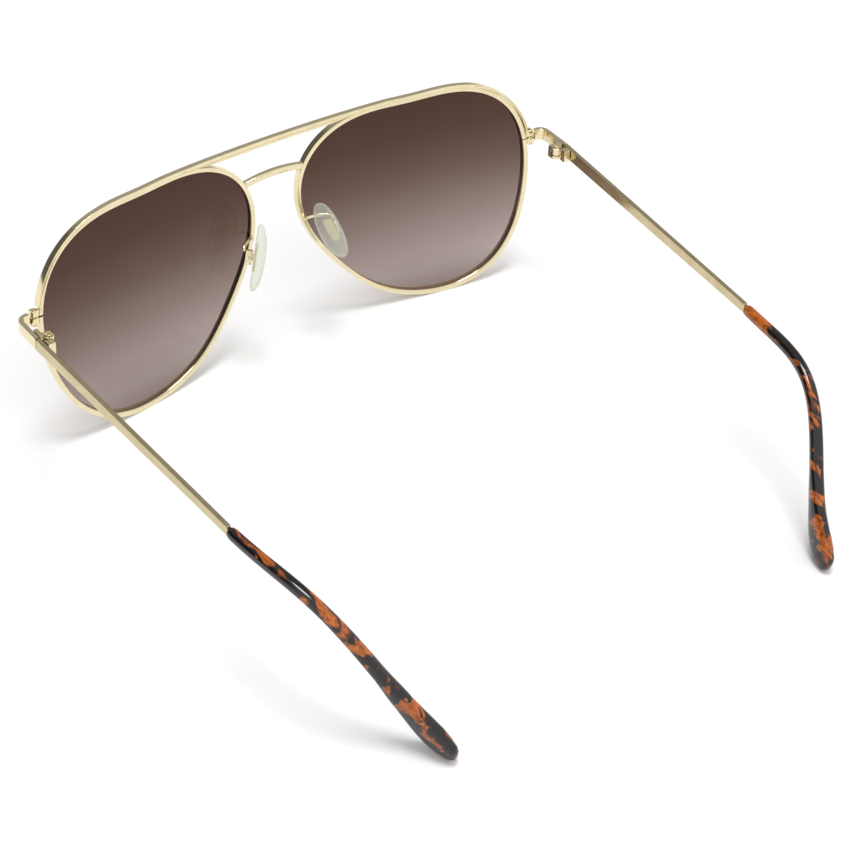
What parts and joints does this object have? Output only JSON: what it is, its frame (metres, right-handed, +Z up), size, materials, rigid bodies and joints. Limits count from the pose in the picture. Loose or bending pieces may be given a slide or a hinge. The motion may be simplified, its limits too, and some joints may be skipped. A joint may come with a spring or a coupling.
{
  "type": "aviator sunglasses",
  "caption": "Aviator sunglasses with gradient brown lenses in thin gold rims, a straight brow bar over an arched bridge, clear nose pads and folding temples with tortoiseshell tips.",
  "frame": {"origin": "on the table under the middle of the open glasses' bounding box", "axes": "+X to the wearer's left along the front, +Y backwards along the open temples, +Z up from the table that the rims and the temple tips stand on"},
  "size_m": [0.1462, 0.1436, 0.0523],
  "materials": {
    "frame": "polished pale gold plating",
    "screw": "polished pale gold plating, darker in the slots",
    "lens": "gradient brown tint, darker at the top",
    "tip": "polished tortoiseshell acetate",
    "pad": "clear soft plastic"
  },
  "bodies": {
    "front": {"brow_bar": "frame", "bridge": "frame", "left_lens": "lens", "left_rim": "frame", "left_lock_upper": "frame", "left_lock_lower": "frame", "left_lock_screw": "screw", "left_end_piece": "frame", "left_front_hinge": "frame", "left_hinge_screw": "screw", "left_pad_arm": "frame", "left_pad_box": "frame", "left_pad_screw": "screw", "right_lens": "lens", "right_rim": "frame", "right_lock_upper": "frame", "right_lock_lower": "frame", "right_lock_screw": "screw", "right_end_piece": "frame", "right_front_hinge": "frame", "right_hinge_screw": "screw", "right_pad_arm": "frame", "right_pad_box": "frame", "right_pad_screw": "screw"},
    "left_temple": {"left_temple": "frame", "left_temple_hinge": "frame", "left_temple_tip": "tip"},
    "left_nose_pad": {"left_nose_pad": "pad", "left_pad_core": "frame"},
    "right_temple": {"right_temple": "frame", "right_temple_hinge": "frame", "right_temple_tip": "tip"},
    "right_nose_pad": {"right_nose_pad": "pad", "right_pad_core": "frame"}
  },
  "joints": [
    {"name": "left_temple_fold", "type": "hinge", "parent": "front", "child": "left_temple", "pos_m": [0.07, -0.05221, 0.03359], "axis": [0, 0, 1], "range_deg": [0, 80]},
    {"name": "right_temple_fold", "type": "hinge", "parent": "front", "child": "right_temple", "pos_m": [-0.07, -0.05221, 0.03359], "axis": [0, 0, -1], "range_deg": [0, 72]},
    {"name": "left_pad_rock", "type": "hinge", "parent": "front", "child": "left_nose_pad", "pos_m": [0.01161, -0.06233, 0.02719], "axis": [-0.537, -0.7543, -0.3777], "range_deg": [-8, 8]},
    {"name": "right_pad_rock", "type": "hinge", "parent": "front", "child": "right_nose_pad", "pos_m": [-0.01161, -0.06233, 0.02719], "axis": [0.537, -0.7543, -0.3777], "range_deg": [-8, 8]}
  ]
}
